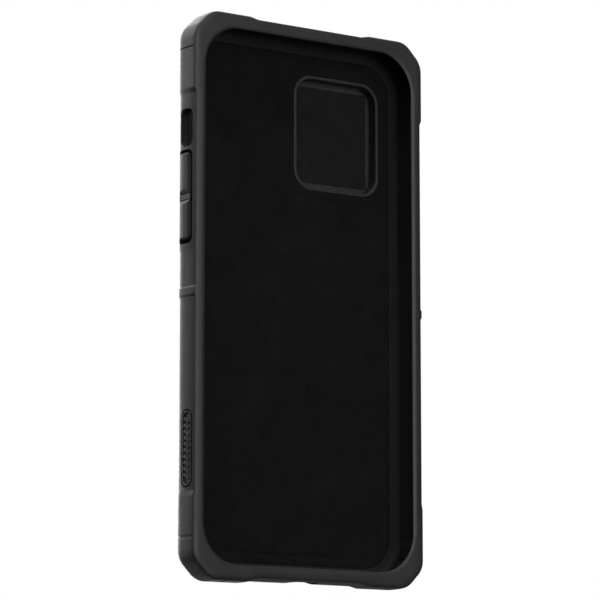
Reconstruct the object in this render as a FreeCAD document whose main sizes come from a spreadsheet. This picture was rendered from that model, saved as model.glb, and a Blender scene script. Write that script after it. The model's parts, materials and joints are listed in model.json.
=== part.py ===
"""Rugged two-layer phone case: soft bumper frame, hard back plate, sliding
camera cover, press keys and a swivelling finger ring that folds flat.

Frame: origin under the middle of the bottom edge, +Z up along the case's
length, -Y out of the screen opening, +Y out of the back, +X to the right
seen from the screen side.  All lengths in millimetres.
"""
import FreeCAD, Part
import math
import os
import Sketcher
from FreeCAD import Vector as V

doc = FreeCAD.newDocument("phone_case")

# ---------------------------------------------------------------- dimensions
PARAMS = [
    # overall
    ("zmid", 76.87),        # height of the screen opening's centre
    ("yfront", -7.3),       # front face of the lip
    ("half_wide", 38.45),   # corner blocks, widest point
    ("half_top", 76.66),    # corner blocks, above zmid
    ("half_low", 77.10),    # corner blocks, below zmid
    ("mid_top", 76.74),     # the same two for the skin between the blocks
    ("mid_low", 76.68),
    ("corner_leg", 5.80),   # leg of the 45 degree corner chamfer
    ("corner_rad", 6.0),    # rounding of the chamfer's two ends
    # screen opening and phone bay
    ("open_halfw", 34.60), ("open_halfh", 72.50), ("open_rad", 11.0),
    ("lip_inner", 1.05),    # width of the lip's inner slope
    ("lip_depth", 1.15),    # lip thickness down to the glass
    ("bay_halfw", 35.85), ("bay_halfh", 73.80), ("bay_rad", 11.9),
    ("seat_depth", 8.95),   # from lip front to liner face
    ("bay_edge", 1.50),     # rounding of the bay's rear edge
    # rear layers, depths from the lip front
    ("liner_back", 9.55), ("plate_back", 11.40), ("rim_back", 11.50),
    ("island_back", 14.60),
    ("plate_halfw", 33.0), ("plate_top", 70.6), ("plate_low", 71.2),
    ("plate_rad", 9.0),
    # camera window and slide
    ("cam_mid", 48.9), ("win_x", 15.0), ("win_halfw", 13.6),
    ("win_halfh", 15.3), ("win_wall", 0.9), ("win_flange", 0.9),
    ("win_rad", 5.0), ("flange_back", 11.75),
    ("bez_halfw", 32.4), ("bez_halfh", 20.4), ("bez_rad", 6.0),
    ("bez_in_halfw", 31.3), ("bez_in_halfh", 17.6), ("bez_slot_halfh", 19.0),
    ("bez_slot_back", 13.10), ("bez_edge", 1.0),
    ("cover_x", 15.4), ("cover_halfw", 15.6), ("cover_flange_halfh", 18.7),
    ("cover_body_halfh", 17.3), ("cover_front", 11.95),
    ("cover_step", 12.90), ("cover_back", 14.40), ("cover_edge", 0.7),
    ("pad_halfw", 12.0), ("pad_halfh", 13.5), ("pad_back", 12.35),
    ("grip_x", 5.6), ("grip_halfw", 2.6), ("grip_halfh", 8.0),
    ("grip_front", 13.80), ("grip_back", 14.60),
    # ring stand
    ("hub_low", 16.0),      # hub centre below zmid
    ("hub_rad", 17.0), ("boss_rad", 11.95), ("hub_front", 11.62),
    ("hub_back", 13.20), ("bore_rad", 12.40), ("bush_in", 12.02),
    ("bush_out", 16.2), ("bush_back", 11.60), ("recess_rad", 14.5),
    ("recess_back", 10.50), ("ret_rad", 14.2), ("ret_front", 9.70),
    ("ret_back", 10.25), ("wash_in", 12.1), ("wash_out", 14.0),
    ("wash_front", 10.28), ("wash_back", 10.48),
    ("mag_rad", 13.0), ("mag_front", 12.75), ("mag_back", 13.35),
    ("ring_out", 21.0), ("ring_in", 17.4), ("ring_front", 11.70),
    ("ring_back", 13.40), ("pivot_up", 19.2), ("pivot_depth", 12.75),
    ("knuckle_rad", 1.15), ("pin_rad", 0.60), ("pin_hole", 0.65),
    ("lug_half", 4.0), ("knuckle_in", 4.1), ("knuckle_out", 8.4),
    ("screw_rad", 0.8), ("screw_head", 1.5), ("screw_pcd", 7.5),
    # keys, heights from zmid, depths from the lip front
    ("key_slot_low", 12.7), ("key_slot_top", 37.96),
    ("key_slot_front", 1.7), ("key_slot_back", 8.3), ("key_slot_rad", 1.8),
    ("key_front", 2.85), ("key_back", 7.95), ("key_top_face", 38.42),
    ("key_under", 36.95), ("carrier_face", 36.40), ("nub_tip", 36.0),
    ("nub_rad", 1.0), ("nub_hole", 1.15), ("valley_low", 24.66),
    ("valley_top", 26.16), ("key_gap", 0.20), ("key_end_gap", 0.6),
    ("pow_low", 14.5), ("pow_top", 33.5),
]
S = doc.addObject("Spreadsheet::Sheet", "Sheet")
P = {}
for i, (name, value) in enumerate(PARAMS, start=1):
    S.set("A%d" % i, name)
    S.set("B%d" % i, str(value))
    S.setAlias("B%d" % i, name)
    P[name] = value
doc.recompute()
for name, value in PARAMS:
    assert abs(float(getattr(S, name)) - value) < 1e-9, name

SUBPARTS = []


def E(expr):
    """Prefix every alias in an expression with the sheet's name."""
    out, word = "", ""
    for ch in expr + " ":
        if ch.isalnum() or ch == "_":
            word += ch
        else:
            out += ("Sheet." + word) if word in P else word
            word = ""
            out += ch
    return out.strip()


def Y(depth):
    return P["yfront"] + depth


def keep(obj, label):
    obj.Label = label
    SUBPARTS.append(obj)
    return obj


# ------------------------------------------------- parametric building blocks
def box(name, x0, x1, d0, d1, z0, z1):
    """Box between expressions; d is depth from the lip front, z is height
    above the opening's centre."""
    o = doc.addObject("Part::Box", name)
    o.setExpression("Length", E("(%s) - (%s)" % (x1, x0)))
    o.setExpression("Width", E("(%s) - (%s)" % (d1, d0)))
    o.setExpression("Height", E("(%s) - (%s)" % (z1, z0)))
    o.setExpression("Placement.Base.x", E(x0))
    o.setExpression("Placement.Base.y", E("yfront + (%s)" % d0))
    o.setExpression("Placement.Base.z", E("zmid + (%s)" % z0))
    return o


def cyl_y(name, rad, x, z, d0, d1):
    """Cylinder along +Y from depth d0 to d1."""
    o = doc.addObject("Part::Cylinder", name)
    o.Placement = FreeCAD.Placement(V(0, 0, 0),
                                    FreeCAD.Rotation(V(1, 0, 0), -90))
    o.setExpression("Radius", E(rad))
    o.setExpression("Height", E("(%s) - (%s)" % (d1, d0)))
    o.setExpression("Placement.Base.x", E(x))
    o.setExpression("Placement.Base.y", E("yfront + (%s)" % d0))
    o.setExpression("Placement.Base.z", E("zmid + (%s)" % z))
    return o


def cone_y(name, r0, r1, x, z, d0, d1):
    o = doc.addObject("Part::Cone", name)
    o.Placement = FreeCAD.Placement(V(0, 0, 0),
                                    FreeCAD.Rotation(V(1, 0, 0), -90))
    o.setExpression("Radius1", E(r0))
    o.setExpression("Radius2", E(r1))
    o.setExpression("Height", E("(%s) - (%s)" % (d1, d0)))
    o.setExpression("Placement.Base.x", E(x))
    o.setExpression("Placement.Base.y", E("yfront + (%s)" % d0))
    o.setExpression("Placement.Base.z", E("zmid + (%s)" % z))
    return o


def cyl_x(name, rad, x0, x1, d, z):
    """Cylinder along +X from x0 to x1."""
    o = doc.addObject("Part::Cylinder", name)
    o.Placement = FreeCAD.Placement(V(0, 0, 0),
                                    FreeCAD.Rotation(V(0, 1, 0), 90))
    o.setExpression("Radius", E(rad))
    o.setExpression("Height", E("(%s) - (%s)" % (x1, x0)))
    o.setExpression("Placement.Base.x", E(x0))
    o.setExpression("Placement.Base.y", E("yfront + (%s)" % d))
    o.setExpression("Placement.Base.z", E("zmid + (%s)" % z))
    return o


def cut(name, base, tool):
    o = doc.addObject("Part::Cut", name)
    o.Base, o.Tool = base, tool
    return o


def fuse(name, objs):
    o = doc.addObject("Part::MultiFuse", name)
    o.Shapes = list(objs)
    o.Refine = True
    return o


def origin_plane(body, role):
    for f in body.Origin.OriginFeatures:
        if getattr(f, "Role", "") == role:
            return f
    raise RuntimeError(role)


def rect_sketch(body, name, depth, rects):
    """Rectangles (x0, x1, z0, z1 as expressions) on the XZ plane moved to a
    depth; the sketch's own normal points to -Y, out of the screen side."""
    sk = body.newObject("Sketcher::SketchObject", name)
    sk.AttachmentSupport = [(origin_plane(body, "XZ_Plane"), "")]
    sk.MapMode = "FlatFace"
    sk.setExpression("AttachmentOffset.Base.z", E("-(yfront + (%s))" % depth))
    for k, (x0, x1, z0, z1) in enumerate(rects):
        g = 4 * k
        a, b = number(x0), number(x1)
        c, d = P["zmid"] + number(z0), P["zmid"] + number(z1)
        pts = [V(a, c, 0), V(b, c, 0), V(b, d, 0), V(a, d, 0)]
        for i in range(4):
            sk.addGeometry(Part.LineSegment(pts[i], pts[(i + 1) % 4]), False)
        con = Sketcher.Constraint
        for i in range(4):
            sk.addConstraint(con("Coincident", g + i, 2, g + (i + 1) % 4, 1))
        sk.addConstraint(con("Horizontal", g))
        sk.addConstraint(con("Horizontal", g + 2))
        sk.addConstraint(con("Vertical", g + 1))
        sk.addConstraint(con("Vertical", g + 3))
        for tag, kind, geo, val, ex in (
                ("left%d" % k, "DistanceX", g, a, x0),
                ("right%d" % k, "DistanceX", g + 2, b, x1),
                ("low%d" % k, "DistanceY", g, c, "zmid + (%s)" % z0),
                ("high%d" % k, "DistanceY", g + 2, d, "zmid + (%s)" % z1)):
            n = sk.addConstraint(con(kind, -1, 1, geo, 1, val))
            sk.renameConstraint(n, tag)
            sk.setExpression("Constraints." + tag, E(ex))
    return sk


def number(expr):
    """Value of a sum of aliases and numbers, worked out by the sheet in a
    scratch cell that is cleared again."""
    S.set("D1", "=" + expr)
    S.recompute()
    value = S.get("D1")
    S.clear("D1")
    return float(value.Value if hasattr(value, "Value") else value)


def pad(body, sk, length):
    f = body.newObject("PartDesign::Pad", sk.Name + "_pad")
    f.Profile = sk
    f.setExpression("Length", E(length))
    body.Tip = f
    return f


def pocket(body, sk, length, reverse):
    """Cut of a given length; the volume before and after is compared."""
    doc.recompute()
    before = body.Shape.Volume
    f = body.newObject("PartDesign::Pocket", sk.Name + "_cut")
    f.Profile = sk
    f.setExpression("Length", E(length))
    f.Reversed = reverse
    body.Tip = f
    doc.recompute()
    after = body.Shape.Volume
    assert after < before - 1e-3, "pocket cut nothing: " + sk.Name
    return f


def edges_along_y(shape, test=None):
    names = []
    for i, e in enumerate(shape.Edges, start=1):
        if len(e.Vertexes) != 2 or not isinstance(e.Curve, Part.Line):
            continue
        d = (e.Vertexes[1].Point - e.Vertexes[0].Point)
        if abs(d.x) < 1e-6 and abs(d.z) < 1e-6 and abs(d.y) > 1e-6:
            if test is None or test(e):
                names.append("Edge%d" % i)
    return names


def edges_at_depth(shape, depth, test=None):
    names = []
    for i, e in enumerate(shape.Edges, start=1):
        b = e.BoundBox
        if abs(b.YMin - Y(depth)) < 1e-5 and abs(b.YMax - Y(depth)) < 1e-5:
            if test is None or test(e):
                names.append("Edge%d" % i)
    return names


def dress(body, kind, base, names, expr):
    assert names, "no edges for " + kind
    f = body.newObject("PartDesign::" + kind, "%s_%s" % (body.Name, kind))
    f.Base = (base, names)
    f.setExpression("Radius" if kind == "Fillet" else "Size", E(expr))
    body.Tip = f
    doc.recompute()
    return f


def new_body(label):
    b = doc.addObject("PartDesign::Body", label + "_body")
    return b


def feature(label, shape):
    """Stand-alone shape worked out below; Placement is set after Shape."""
    o = doc.addObject("Part::Feature", label)
    o.Shape = shape
    o.Placement = FreeCAD.Placement()
    return o


# ------------------------------------------------------------ computed wires
def arc_pts(c, r, a0, a1):
    am = (a0 + a1) / 2.0
    f = lambda a: (c[0] + r * math.cos(a), c[1] + r * math.sin(a))
    return f(a0), f(am), f(a1)


def p3(p, y):
    return V(p[0], y, P["zmid"] + p[1])


def octagon_wire(inset, depth, reach="half"):
    """Outer outline of the case at one depth: a rectangle with 45 degree
    corners, each end of a corner rounded, inset evenly from the widest.
    reach is "half" for the corner blocks and "mid" for the skin between."""
    w = P["half_wide"] - inset
    t = P[reach + "_top"] - inset
    b = P[reach + "_low"] - inset
    leg = P["corner_leg"] - inset * (2 - math.sqrt(2))
    r = max(P["corner_rad"] - inset, 1.6)
    v = [(w, t - leg), (w - leg, t), (-w + leg, t), (-w, t - leg),
         (-w, -b + leg), (-w + leg, -b), (w - leg, -b), (w, -b + leg)]
    y = Y(depth)
    n = len(v)
    k = r * math.tan(math.radians(22.5))
    trims = []
    for i in range(n):
        p, q, s = v[i - 1], v[i], v[(i + 1) % n]
        u0 = unit(p, q)
        u1 = unit(q, s)
        a = (q[0] - u0[0] * k, q[1] - u0[1] * k)
        c = (q[0] + u1[0] * k, q[1] + u1[1] * k)
        # middle of the arc, on the line from the vertex to the centre
        nx, nz = (u1[0] - u0[0]), (u1[1] - u0[1])
        ln = math.hypot(nx, nz)
        cen = r / math.cos(math.radians(22.5))
        m = (q[0] + nx / ln * (cen - r), q[1] + nz / ln * (cen - r))
        trims.append((a, m, c))
    edges = []
    for i in range(n):
        a, m, c = trims[i]
        edges.append(Part.Arc(p3(a, y), p3(m, y), p3(c, y)).toShape())
        nxt = trims[(i + 1) % n][0]
        edges.append(Part.LineSegment(p3(c, y), p3(nxt, y)).toShape())
    return Part.Wire(edges)


def unit(p, q):
    dx, dz = q[0] - p[0], q[1] - p[1]
    ln = math.hypot(dx, dz)
    return dx / ln, dz / ln


def round_rect(x0, x1, z0, z1, r, depth):
    """Rounded rectangle in the XZ plane, heights from zmid."""
    y = Y(depth)
    cs = [((x1 - r, z1 - r), 0), ((x0 + r, z1 - r), 1),
          ((x0 + r, z0 + r), 2), ((x1 - r, z0 + r), 3)]
    arcs = [arc_pts(c, r, q * math.pi / 2, (q + 1) * math.pi / 2)
            for c, q in cs]
    edges = []
    for i in range(4):
        a, m, c = arcs[i]
        edges.append(Part.Arc(p3(a, y), p3(m, y), p3(c, y)).toShape())
        edges.append(Part.LineSegment(p3(c, y),
                                      p3(arcs[(i + 1) % 4][0], y)).toShape())
    return Part.Wire(edges)


def prism_y(wire, length):
    return Part.Face(wire).extrude(V(0, length, 0))


def side_slot(x0, x1, d0, d1, z0, z1, r):
    """Rounded slot running along X through a side wall."""
    y0, y1 = Y(d0), Y(d1)
    za, zb = P["zmid"] + z0, P["zmid"] + z1
    cs = [((y1 - r, zb - r), 0), ((y0 + r, zb - r), 1),
          ((y0 + r, za + r), 2), ((y1 - r, za + r), 3)]
    arcs = [arc_pts(c, r, q * math.pi / 2, (q + 1) * math.pi / 2)
            for c, q in cs]
    f = lambda p: V(x0, p[0], p[1])
    edges = []
    for i in range(4):
        a, m, c = arcs[i]
        edges.append(Part.Arc(f(a), f(m), f(c)).toShape())
        nx = arcs[(i + 1) % 4][0]
        if (f(c) - f(nx)).Length > 1e-6:
            edges.append(Part.LineSegment(f(c), f(nx)).toShape())
    return Part.Face(Part.Wire(edges)).extrude(V(x1 - x0, 0, 0))


def end_slot(x0, x1, d0, d1, z0, z1, r):
    """Rounded slot running along Z through the top or bottom wall."""
    y0, y1 = Y(d0), Y(d1)
    cs = [((x1 - r, y1 - r), 0), ((x0 + r, y1 - r), 1),
          ((x0 + r, y0 + r), 2), ((x1 - r, y0 + r), 3)]
    arcs = [arc_pts(c, r, q * math.pi / 2, (q + 1) * math.pi / 2)
            for c, q in cs]
    f = lambda p: V(p[0], p[1], P["zmid"] + z0)
    edges = []
    for i in range(4):
        a, m, c = arcs[i]
        edges.append(Part.Arc(f(a), f(m), f(c)).toShape())
        nx = arcs[(i + 1) % 4][0]
        if (f(c) - f(nx)).Length > 1e-6:
            edges.append(Part.LineSegment(f(c), f(nx)).toShape())
    return Part.Face(Part.Wire(edges)).extrude(V(0, 0, z1 - z0))


def slab(x0, x1, d0, d1, z0, z1):
    return Part.makeBox(x1 - x0, d1 - d0, z1 - z0,
                        V(x0, Y(d0), P["zmid"] + z0))


def poly_xz(points, d0, d1):
    pts = [p3(q, Y(d0)) for q in points]
    w = Part.makePolygon(pts + [pts[0]])
    return Part.Face(w).extrude(V(0, d1 - d0, 0))


def shell_of(profile, reach):
    """Solid of the outer skin, ruled from outline to outline.
    profile: (half width, depth)."""
    wires = [octagon_wire(P["half_wide"] - u, d, reach) for u, d in profile]
    return Part.makeLoft(wires, True, True)


# ------------------------------------------------------- bumper: outer shape
# half width against depth: a lip face that falls away outwards, a tight
# front edge, a barrelled side and a bevelled back edge
MID_PTS = [(35.70, 0.0), (36.40, 0.04), (36.90, 0.11), (37.25, 0.19),
           (37.55, 0.32), (37.72, 0.9), (37.88, 1.8), (38.02, 3.0),
           (38.10, 4.4), (38.10, 5.8), (38.00, 7.0), (37.66, 7.9),
           (36.60, 9.4), (35.70, 10.6), (34.60, P["rim_back"])]
TOP_PTS = [(35.90, 0.0), (36.90, 0.05), (37.55, 0.15), (38.00, 0.30),
           (38.25, 0.52), (38.33, 1.0), (38.38, 1.8), (38.42, 3.0),
           (38.44, 4.4), (38.44, 5.8), (38.36, 7.0), (37.98, 7.95),
           (36.90, 9.45), (36.00, 10.65), (34.90, P["rim_back"])]
LOW_PTS = [(35.80, 0.0), (36.75, 0.05), (37.35, 0.15), (37.75, 0.29),
           (38.00, 0.50), (38.09, 1.0), (38.15, 1.8), (38.20, 3.0),
           (38.22, 4.4), (38.22, 5.8), (38.15, 7.0), (37.80, 7.95),
           (36.75, 9.4), (35.85, 10.6), (34.80, P["rim_back"])]
BAND_PTS = [(35.75, 0.0), (36.60, 0.045), (37.20, 0.13), (37.70, 0.27),
            (38.05, 0.48), (38.13, 0.95), (38.21, 1.8), (38.28, 3.0),
            (38.32, 4.4), (38.32, 5.8), (38.24, 7.0), (37.90, 7.95),
            (36.84, 9.43), (35.94, 10.65), (34.83, P["rim_back"])]
# beside the keys the wall stands a little prouder behind its front edge
KEYS_PTS = MID_PTS[:5] + [
    (37.74, 0.9), (37.98, 1.8), (38.17, 3.0), (38.26, 4.4), (38.26, 5.8),
    (38.16, 7.0), (37.82, 7.95), (36.76, 9.45), (35.87, 10.62),
    (34.70, P["rim_back"])]
mid_skin = shell_of(MID_PTS, "mid")
block_skin = {True: shell_of(TOP_PTS, "half"),
              False: shell_of(LOW_PTS, "half")}

# four corner blocks; each ends in an even slope down to the middle section
D0, D1 = -1.0, 13.0
SIDE_TOP, SIDE_LOW, END_X = (54.7, 53.4), (-54.8, -53.4), (20.0, 17.4)
KEYS_LOW = (11.2, 10.4)


def corner_region(sx, top):
    z_in = SIDE_TOP[0] if top else SIDE_LOW[0]
    z_mid, z_out = (70.0, 82.0) if top else (-70.5, -83.0)
    pts = [(45.0, z_in), (33.0, z_in), (END_X[0], z_mid),
           (END_X[0], z_out), (45.0, z_out)]
    return poly_xz([(sx * a, b) for a, b in pts], D0, D1)


def side_section(sx, pts, z):
    q = [V(sx * u, Y(d), P["zmid"] + z) for u, d in pts]
    q += [V(sx * 33.6, q[-1].y, q[0].z), V(sx * 33.6, q[0].y, q[0].z)]
    return Part.makePolygon(q + [q[0]])


def end_section(top, pts, x, reach):
    half = P[reach + ("_top" if top else "_low")]
    sz = 1 if top else -1
    q = [V(x, Y(d), P["zmid"] + sz * (half - (P["half_wide"] - u)))
         for u, d in pts]
    zin = P["zmid"] + sz * 71.7
    q += [V(x, q[-1].y, zin), V(x, q[0].y, zin)]
    return Part.makePolygon(q + [q[0]])


def slope(a, b):
    return Part.makeLoft([a, b], True, True)


raised = []
for sx in (-1, 1):
    for top in (True, False):
        raised.append(block_skin[top].common(corner_region(sx, top)))
        z_block, z_mid = SIDE_TOP if top else SIDE_LOW
        block_pts = TOP_PTS if top else LOW_PTS
        raised.append(slope(side_section(sx, block_pts, z_block),
                            side_section(sx, KEYS_PTS if top else MID_PTS,
                                         z_mid)))
        raised.append(slope(end_section(top, block_pts, sx * END_X[0],
                                        "half"),
                            end_section(top, MID_PTS, sx * END_X[1],
                                        "mid")))
    # the wall beside the keys, easing out below them
    raised.append(slope(side_section(sx, KEYS_PTS, SIDE_TOP[1]),
                        side_section(sx, KEYS_PTS, KEYS_LOW[0])))
    raised.append(slope(side_section(sx, KEYS_PTS, KEYS_LOW[0]),
                        side_section(sx, MID_PTS, KEYS_LOW[1])))
    # a narrow band on each long side, near the middle
    cuts = [(MID_PTS, 0.98), (BAND_PTS, 0.55), (BAND_PTS, -1.25),
            (MID_PTS, -1.85)]
    for (pa, za), (pb, zb) in zip(cuts[:-1], cuts[1:]):
        raised.append(slope(side_section(sx, pa, za),
                            side_section(sx, pb, zb)))
outer = mid_skin.multiFuse(raised).removeSplitter()

# thin parting grooves across the corner blocks
# they start just behind the front edge and are cut down to a floor
low_core = shell_of([(u - 0.22, d) for u, d in LOW_PTS], "half")
grooves = []
for sx in (-1, 1):
    lo, hi = sorted((sx * 33, sx * 45))
    grooves.append(slab(lo, hi, 0.75, D1, 65.84, 66.26).cut(mid_skin))
    # the lower ones are wider and their lower side slopes outwards
    grooves.append(poly_xz([(sx * 33, -65.08), (sx * 45, -65.08),
                            (sx * 45, -72.95), (sx * 37.6, -65.55),
                            (sx * 33, -65.55)], 0.75, D1).cut(low_core))
for x in (-26.8, 26.8):
    for z0, z1 in ((72, 80), (-81, -72)):
        grooves.append(slab(x - 0.3, x + 0.3, 0.9, D1, z0,
                            z1).cut(mid_skin))
for g in grooves:
    outer = outer.cut(g)

# ------------------------------------------------------- bumper: inner shape
bw, bh, br = P["bay_halfw"], P["bay_halfh"], P["bay_rad"]
bay = prism_y(round_rect(-bw, bw, -bh, bh, br, P["lip_depth"]),
              P["seat_depth"] - P["lip_depth"])
rear_edges = [e for e in bay.Edges
              if abs(e.BoundBox.YMin - Y(P["seat_depth"])) < 1e-6
              and abs(e.BoundBox.YMax - Y(P["seat_depth"])) < 1e-6]
bay = bay.makeFillet(P["bay_edge"], rear_edges)
ow, oh, orad = P["open_halfw"], P["open_halfh"], P["open_rad"]
li = P["lip_inner"]
mouth = prism_y(round_rect(-ow, ow, -oh, oh, orad, -1.0),
                P["lip_depth"] + 1.2)


def ring_cut(a, b, da, db):
    """Frustum over the opening: its outline grown by a at depth da and by
    b at depth db."""
    return Part.makeLoft(
        [round_rect(-ow - g, ow + g, -oh - g, oh + g, orad + g, d)
         for g, d in ((a, da), (b, db))], True, True)


# the lip's inner slope with a rounded edge, and an undercut behind it
slopes = [ring_cut(li + 0.15, 0.16, -0.05, 0.30),
          ring_cut(0.16, 0.04, 0.30, 0.40),
          ring_cut(0.04, 0.0, 0.40, 0.48),
          ring_cut(0.0, 0.80, 0.62, P["lip_depth"] + 0.02)]
pw = P["plate_halfw"]
window = prism_y(round_rect(-pw, pw, -P["plate_low"], P["plate_top"],
                            P["plate_rad"], P["seat_depth"] - 0.3),
                 4.0)
bumper = outer
for c in [bay, mouth, window] + slopes:
    bumper = bumper.cut(c)

# crescents moulded into the four inner corners, with their pockets
inserts = []
for sx in (-1, 1):
    for sz in (-1, 1):
        cx, cz = sx * (bw - br), sz * (bh - br)
        outer_r, inner_r = br + 1.15, br
        a = V(cx, Y(2.3), P["zmid"] + cz)
        ring = Part.makeCylinder(outer_r, 5.2, a, V(0, 1, 0))
        ring = ring.cut(Part.makeCylinder(inner_r, 5.4,
                                          a - V(0, 0.1, 0), V(0, 1, 0)))
        wedge = []
        for ang in (14, 76):
            wedge.append((cx + sx * 20 * math.cos(math.radians(ang)),
                          cz + sz * 20 * math.sin(math.radians(ang))))
        sector = poly_xz([(cx, cz), wedge[0],
                          (cx + sx * 20, cz + sz * 20), wedge[1]], 1.5, 9.0)
        crescent = ring.common(sector)
        bumper = bumper.cut(crescent)
        # two relief slits leave air cells behind the phone's corner
        soft = crescent
        for ang in (33, 57):
            ca, sa = math.cos(math.radians(ang)), math.sin(math.radians(ang))
            m = FreeCAD.Placement(
                V(cx + sx * ca * (inner_r - 1), Y(3.2),
                  P["zmid"] + cz + sz * sa * (inner_r - 1)),
                FreeCAD.Rotation(V(0, 1, 0),
                                 -math.degrees(math.atan2(sz * sa, sx * ca))))
            slit = Part.makeBox(1.45, 3.4, 0.7, V(0, 0, -0.35))
            slit.Placement = m
            soft = soft.cut(slit)
        inserts.append(soft)



def flare(sx, d0, d1, z0, z1, r, grow=0.32):
    """Bevelled rim of a slot in a side wall, widening outwards."""
    wires = []
    for x, g in ((37.86, 0.0), (38.62, grow * 1.9)):
        y0, y1 = Y(d0 - g), Y(d1 + g)
        za, zb = P["zmid"] + z0 - g, P["zmid"] + z1 + g
        cs = [((y1 - r, zb - r), 0), ((y0 + r, zb - r), 1),
              ((y0 + r, za + r), 2), ((y1 - r, za + r), 3)]
        rr = [arc_pts(c, r, q * math.pi / 2, (q + 1) * math.pi / 2)
              for c, q in cs]
        f = lambda p: V(sx * x, p[0], p[1])
        edges = []
        for i in range(4):
            a, m, c = rr[i]
            edges.append(Part.Arc(f(a), f(m), f(c)).toShape())
            edges.append(Part.LineSegment(
                f(c), f(rr[(i + 1) % 4][0])).toShape())
        wires.append(Part.Wire(edges))
    return Part.makeLoft(wires, True, True)


# silence-switch window and the two key openings in the side walls
ks = (P["key_slot_front"], P["key_slot_back"])
for sx, d0, d1, z0, z1 in (
        (-1, 1.6, 7.0, 39.05, 49.15),
        (-1, ks[0], ks[1], P["key_slot_low"], P["key_slot_top"]),
        (1, ks[0], ks[1], P["pow_low"], P["pow_top"])):
    lo, hi = sorted((sx * 34.5, sx * 42))
    bumper = bumper.cut(side_slot(lo, hi, d0, d1, z0, z1,
                                  P["key_slot_rad"]))
    bumper = bumper.cut(flare(sx, d0, d1, z0, z1, P["key_slot_rad"],
                              0.2 if d0 < 1.8 else 0.16))
# charging port
bumper = bumper.cut(end_slot(-5.0, 5.0, 2.2, 8.4, -80, -72, 2.4))
# speaker and microphone openings either side of the port
for sx in (-1, 1):
    for k in range(4):
        x = sx * (10.2 + 2.25 * k)
        bumper = bumper.cut(end_slot(x - 0.75, x + 0.75, 3.7, 6.3,
                                     -80, -72, 0.74))
# top microphone
bumper = bumper.cut(Part.makeCylinder(
    0.8, 8, V(14.0, Y(5.0), P["zmid"] + 71), V(0, 0, 1)))

# oval plaque let into the left side, near the bottom
OV = (1.35, 6.1, -52.6, -31.8)
plaque_hole = side_slot(-42, -37.15, OV[0], OV[1], OV[2], OV[3], 2.35)
g = 0.42
plaque_prism = side_slot(-42, -37.15, OV[0] + g, OV[1] - g, OV[2] + g,
                         OV[3] - g, 2.35 - g - 0.01)
plaque = mid_skin.common(plaque_prism)
# a raised rim round a sunk field
g = 0.86
field = side_slot(-42, -37.72, OV[0] + g, OV[1] - g, OV[2] + g, OV[3] - g,
                  2.35 - g - 0.01)
rimmed = plaque.cut(field)
bars = []
bumper = bumper.cut(plaque_hole)
# a row of slanted bars standing in the field
for k in range(10):
    z = -49.6 + 1.64 * k
    bar = Part.makeBox(1.2, 2.3, 0.72, V(-38.85, -1.15, -0.36))
    bar.Placement = FreeCAD.Placement(
        V(0, Y(3.72), P["zmid"] + z), FreeCAD.Rotation(V(1, 0, 0), 32))
    bars.append(bar.common(plaque))
plaque = rimmed.multiFuse(bars).removeSplitter()

bumper = bumper.removeSplitter()
keep(feature("bumper_frame", bumper), "bumper_frame")
keep(feature("corner_inserts", Part.makeCompound(inserts)),
     "corner_inserts")
keep(feature("side_badge", plaque), "side_badge")


# ---------------------------------------------------------------------- keys
def crown(x_sign, z0, z1, slope_low, slope_high):
    """Key cap: a shallow crown across its width, with an end that slopes
    down where it meets the valley between two keys."""
    top, under = P["key_top_face"], P["key_under"]
    f, b = P["key_front"], P["key_back"]
    a = lambda u, d: V(x_sign * u, Y(d), P["zmid"] + z0)
    prof = [Part.LineSegment(a(under, f), a(top - 0.95, f)).toShape(),
            Part.Arc(a(top - 0.95, f), a(top - 0.33, f + 0.42),
                     a(top - 0.12, f + 1.1)).toShape(),
            Part.Arc(a(top - 0.12, f + 1.1), a(top, f + 2.4),
                     a(top - 0.16, b - 1.0)).toShape(),
            Part.Arc(a(top - 0.16, b - 1.0), a(top - 0.42, b - 0.35),
                     a(top - 0.95, b)).toShape(),
            Part.LineSegment(a(top - 0.95, b), a(under, b)).toShape(),
            Part.LineSegment(a(under, b), a(under, f)).toShape()]
    body = Part.Face(Part.Wire(prof)).extrude(V(0, 0, z1 - z0))
    # plan rounded at the ends that don't meet the valley
    lo, hi = (x_sign * (under - 1), x_sign * (top + 1))
    plan = side_slot(min(lo, hi), max(lo, hi), f - 0.01, b + 0.01,
                     z0 - (3 if slope_low else 0),
                     z1 + (3 if slope_high else 0), 1.3)
    body = body.common(plan)
    for use, z, s in ((slope_low, z0, 1), (slope_high, z1, -1)):
        ln, dp = (0.95, 0.62) if use else (0.5, 0.45)
        q = [V(x_sign * (top + 0.2), Y(0), P["zmid"] + z - s * 0.5),
             V(x_sign * (top + 0.2), Y(0), P["zmid"] + z + s * (ln + 0.3)),
             V(x_sign * (top - dp), Y(0), P["zmid"] + z),
             V(x_sign * (top - dp), Y(0), P["zmid"] + z - s * 0.5)]
        w = Part.makePolygon(q + [q[0]])
        body = body.cut(Part.Face(w).extrude(V(0, 12, 0)))
    zc = (z0 + z1) / 2.0
    nub = Part.makeCylinder(
        P["nub_rad"], under + 0.05 - P["nub_tip"],
        V(x_sign * P["nub_tip"], Y((f + b) / 2), P["zmid"] + zc),
        V(x_sign, 0, 0))
    return body.fuse(nub).removeSplitter()


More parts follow.
